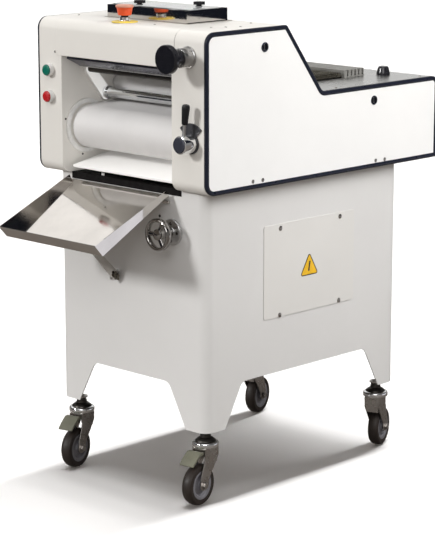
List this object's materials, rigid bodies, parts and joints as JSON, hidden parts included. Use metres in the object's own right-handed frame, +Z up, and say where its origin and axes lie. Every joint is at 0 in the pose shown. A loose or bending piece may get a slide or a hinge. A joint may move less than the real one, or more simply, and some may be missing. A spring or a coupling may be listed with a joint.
{
  "type": "dough sheeter",
  "caption": "Floor-standing dough sheeter and moulder on a cabinet with casters: hopper, sheeting rollers, conveyor, pressure board and sloping discharge tray.",
  "frame": {"origin": "on the floor, under the middle of the machine's bounding box", "axes": "+Z up, -Y towards the operator and the discharge tray, +X to the operator's right"},
  "size_m": [0.574, 1.043, 1.17],
  "materials": {
    "housing_paint": "warm off-white powder coat, semi-gloss",
    "cover_paint": "white powder coat, semi-gloss",
    "cabinet_paint": "light grey-white powder coat, satin",
    "rubber_trim": "glossy black extruded rubber",
    "stainless": "bright mirror-rolled stainless sheet",
    "chrome": "bright plating",
    "roller_grey": "smooth light grey food-grade coating",
    "belt_white": "white coated conveyor cloth",
    "black_plastic": "black moulded plastic, glossy",
    "zinc_steel": "zinc-plated pressed steel",
    "dark_steel": "blackened steel",
    "chain_steel": "oiled steel links",
    "yellow_plastic": "yellow plastic disc",
    "orange_plastic": "orange-red moulded plastic",
    "green_plastic": "green moulded plastic",
    "red_plastic": "red moulded plastic",
    "tyre_rubber": "dark rubber tyre",
    "pedal_plastic": "grey-green moulded plastic"
  },
  "bodies": {
    "machine": {"cabinet": "cabinet_paint", "inspection_panel": "cover_paint", "left_housing": "housing_paint", "right_housing": "housing_paint", "left_cover": "cover_paint", "right_cover": "cover_paint", "left_trim": "rubber_trim", "right_trim": "rubber_trim", "top_hood": "housing_paint", "rear_deck": "stainless", "hopper": "stainless", "mat_bar": "cover_paint", "chain_mat": "chain_steel", "conveyor_belt": "belt_white", "front_guard": "stainless", "drive_motor": "zinc_steel", "drive_chain": "chain_steel", "start_collar": "cover_paint", "stop_collar": "cover_paint", "estop_base": "yellow_plastic", "knob_collar": "chrome", "lever_quadrant": "black_plastic", "handwheel_flange": "chrome", "caster_stem_front_left": "dark_steel", "caster_stem_front_right": "dark_steel", "caster_stem_rear_left": "dark_steel", "caster_stem_rear_right": "dark_steel"},
    "start_push": {"start_button": "green_plastic"},
    "stop_push": {"stop_button": "red_plastic"},
    "estop_plunger": {"estop_stem": "black_plastic"},
    "estop_cap": {"estop_button": "orange_plastic"},
    "knob_left": {"hopper_knob_left": "black_plastic"},
    "knob_right": {"hopper_knob_right": "black_plastic"},
    "deck_screw": {"deck_knob": "black_plastic"},
    "latch_front": {"right_latch_front": "stainless"},
    "latch_rear": {"right_latch_rear": "stainless"},
    "gap_spindle": {"gap_knob": "black_plastic"},
    "carriage": {"roller_carriage": "zinc_steel"},
    "rear_sheeting_roller": {"rear_roller": "roller_grey"},
    "front_sheeting_roller": {"front_roller": "roller_grey"},
    "lever": {"gap_lever": "chrome"},
    "swing_arms": {"swing_frame": "housing_paint"},
    "guide_bar": {"guide_roller": "chrome"},
    "drum": {"belt_drum": "belt_white"},
    "tail_pulley": {"rear_pulley": "zinc_steel"},
    "adjuster": {"handwheel": "chrome"},
    "board": {"pressure_board": "cover_paint"},
    "tray": {"discharge_tray": "stainless"},
    "strut": {"tray_strut": "stainless"},
    "wing_bolt": {"strut_bolt": "zinc_steel"},
    "swivel_front_left": {"caster_fork_front_left": "zinc_steel"},
    "wheel_front_left": {"caster_wheel_front_left": "tyre_rubber"},
    "swivel_front_right": {"caster_fork_front_right": "zinc_steel"},
    "wheel_front_right": {"caster_wheel_front_right": "tyre_rubber"},
    "swivel_rear_left": {"caster_fork_rear_left": "zinc_steel"},
    "wheel_rear_left": {"caster_wheel_rear_left": "tyre_rubber"},
    "swivel_rear_right": {"caster_fork_rear_right": "zinc_steel"},
    "wheel_rear_right": {"caster_wheel_rear_right": "tyre_rubber"},
    "brake_front_left": {"brake_pedal_front_left": "pedal_plastic"},
    "brake_front_right": {"brake_pedal_front_right": "pedal_plastic"}
  },
  "joints": [
    {"name": "start_press", "type": "slide", "parent": "machine", "child": "start_push", "axis": [0, 1, 0], "range_m": [0, 0.004], "stiffness_N_per_m": 400},
    {"name": "stop_press", "type": "slide", "parent": "machine", "child": "stop_push", "axis": [0, 1, 0], "range_m": [0, 0.004], "stiffness_N_per_m": 400},
    {"name": "estop_press", "type": "slide", "parent": "machine", "child": "estop_plunger", "axis": [0, 0, -1], "range_m": [0, 0.003], "stiffness_N_per_m": 900, "springref_m": -0.0005},
    {"name": "estop_twist", "type": "hinge", "parent": "estop_plunger", "child": "estop_cap", "pos_m": [-0.031, -0.26151, 1.15], "axis": [0, 0, -1], "range_deg": [0, 30], "stiffness_Nm_per_rad": 0.05},
    {"name": "hopper_knob_left_turn", "type": "hinge", "parent": "machine", "child": "knob_left", "pos_m": [-0.07, -0.17551, 1.16], "axis": [0, 0, 1], "range_deg": [-360, 360]},
    {"name": "hopper_knob_right_turn", "type": "hinge", "parent": "machine", "child": "knob_right", "pos_m": [0.062, -0.10751, 1.16], "axis": [0, 0, 1], "range_deg": [-360, 360]},
    {"name": "deck_knob_turn", "type": "hinge", "parent": "machine", "child": "deck_screw", "pos_m": [0.1725, 0.44249, 0.965], "axis": [0, 0, 1], "range_deg": [-360, 360]},
    {"name": "latch_front_turn", "type": "hinge", "parent": "machine", "child": "latch_front", "pos_m": [0.278, -0.11751, 1.079], "axis": [1, 0, 0], "range_deg": [0, 90]},
    {"name": "latch_rear_turn", "type": "hinge", "parent": "machine", "child": "latch_rear", "pos_m": [0.278, 0.27449, 0.919], "axis": [1, 0, 0], "range_deg": [0, 90]},
    {"name": "gap_knob_turn", "type": "hinge", "parent": "machine", "child": "gap_spindle", "pos_m": [0.231, -0.38651, 1.067], "axis": [0, 1, 0], "range_deg": [-180, 540]},
    {"name": "carriage_slide", "type": "slide", "parent": "machine", "child": "carriage", "axis": [0, 1, 0], "range_m": [-0.002, 0.006]},
    {"name": "front_roller_spin", "type": "hinge", "parent": "machine", "child": "front_sheeting_roller", "pos_m": [-0.0125, -0.13151, 0.96], "axis": [1, 0, 0], "continuous": true},
    {"name": "rear_roller_spin", "type": "hinge", "parent": "carriage", "child": "rear_sheeting_roller", "pos_m": [-0.0125, -0.06251, 0.972], "axis": [1, 0, 0], "continuous": true},
    {"name": "lever_turn", "type": "hinge", "parent": "machine", "child": "lever", "pos_m": [0.24, -0.33851, 0.871], "axis": [0, 1, 0], "range_deg": [-40, 30]},
    {"name": "arms_tilt", "type": "hinge", "parent": "machine", "child": "swing_arms", "pos_m": [-0.0125, -0.22851, 1], "axis": [1, 0, 0], "range_deg": [-2.4, 1.8]},
    {"name": "guide_roller_spin", "type": "hinge", "parent": "swing_arms", "child": "guide_bar", "pos_m": [-0.0125, -0.17551, 0.939], "axis": [1, 0, 0], "continuous": true},
    {"name": "drum_spin", "type": "hinge", "parent": "machine", "child": "drum", "pos_m": [-0.0125, -0.23351, 0.862], "axis": [1, 0, 0], "continuous": true},
    {"name": "tail_pulley_spin", "type": "hinge", "parent": "machine", "child": "tail_pulley", "pos_m": [-0.0125, 0.46349, 0.912], "axis": [1, 0, 0], "continuous": true},
    {"name": "handwheel_turn", "type": "hinge", "parent": "machine", "child": "adjuster", "pos_m": [0.147, -0.32951, 0.65], "axis": [0, 1, 0], "range_deg": [-720, 720]},
    {"name": "board_lift", "type": "slide", "parent": "machine", "child": "board", "axis": [0, 0, 1], "range_m": [-0.008, 0.008]},
    {"name": "tray_tilt", "type": "hinge", "parent": "machine", "child": "tray", "pos_m": [0, -0.29151, 0.737], "axis": [1, 0, 0], "range_deg": [-1, 12]},
    {"name": "strut_swing", "type": "hinge", "parent": "machine", "child": "strut", "pos_m": [-0.039, -0.29351, 0.52], "axis": [1, 0, 0], "range_deg": [-2.8, 33.6]},
    {"name": "wing_bolt_turn", "type": "hinge", "parent": "machine", "child": "wing_bolt", "pos_m": [-0.039, -0.29351, 0.52], "axis": [1, 0, 0], "range_deg": [-360, 360]},
    {"name": "swivel_front_left_turn", "type": "hinge", "parent": "machine", "child": "swivel_front_left", "pos_m": [-0.218, -0.24551, 0.145], "axis": [0, 0, 1], "continuous": true},
    {"name": "wheel_front_left_roll", "type": "hinge", "parent": "swivel_front_left", "child": "wheel_front_left", "pos_m": [-0.21074, -0.27461, 0.05], "axis": [0.9703, 0.2419, 0], "continuous": true},
    {"name": "brake_front_left_press", "type": "hinge", "parent": "swivel_front_left", "child": "brake_front_left", "pos_m": [-0.20929, -0.28044, 0.13], "axis": [0.9703, 0.2419, 0], "range_deg": [-8, 4]},
    {"name": "swivel_front_right_turn", "type": "hinge", "parent": "machine", "child": "swivel_front_right", "pos_m": [0.218, -0.24551, 0.145], "axis": [0, 0, 1], "continuous": true},
    {"name": "wheel_front_right_roll", "type": "hinge", "parent": "swivel_front_right", "child": "wheel_front_right", "pos_m": [0.22218, -0.27521, 0.05], "axis": [0.9903, 0.1392, 0], "continuous": true},
    {"name": "brake_front_right_press", "type": "hinge", "parent": "swivel_front_right", "child": "brake_front_right", "pos_m": [0.22301, -0.28116, 0.13], "axis": [0.9903, 0.1392, 0], "range_deg": [-8, 4]},
    {"name": "swivel_rear_left_turn", "type": "hinge", "parent": "machine", "child": "swivel_rear_left", "pos_m": [-0.218, 0.37749, 0.145], "axis": [0, 0, 1], "continuous": true},
    {"name": "wheel_rear_left_roll", "type": "hinge", "parent": "swivel_rear_left", "child": "wheel_rear_left", "pos_m": [-0.22576, 0.40647, 0.05], "axis": [-0.9659, -0.2588, 0], "continuous": true},
    {"name": "swivel_rear_right_turn", "type": "hinge", "parent": "machine", "child": "swivel_rear_right", "pos_m": [0.218, 0.37749, 0.145], "axis": [0, 0, 1], "continuous": true},
    {"name": "wheel_rear_right_roll", "type": "hinge", "parent": "swivel_rear_right", "child": "wheel_rear_right", "pos_m": [0.20774, 0.40568, 0.05], "axis": [-0.9397, -0.342, 0], "continuous": true}
  ],
  "couplings": [
    {"joint": "gap_knob_turn", "follows": "carriage_slide", "rad_per_m": 1570.8},
    {"joint": "arms_tilt", "follows": "lever_turn", "ratio": 0.06},
    {"joint": "handwheel_turn", "follows": "board_lift", "rad_per_m": 1570.8},
    {"joint": "strut_swing", "follows": "tray_tilt", "ratio": 2.8},
    {"joint": "rear_roller_spin", "follows": "front_roller_spin", "ratio": -1},
    {"joint": "guide_roller_spin", "follows": "front_roller_spin", "ratio": -2.5},
    {"joint": "tail_pulley_spin", "follows": "drum_spin", "ratio": 1.2948}
  ]
}
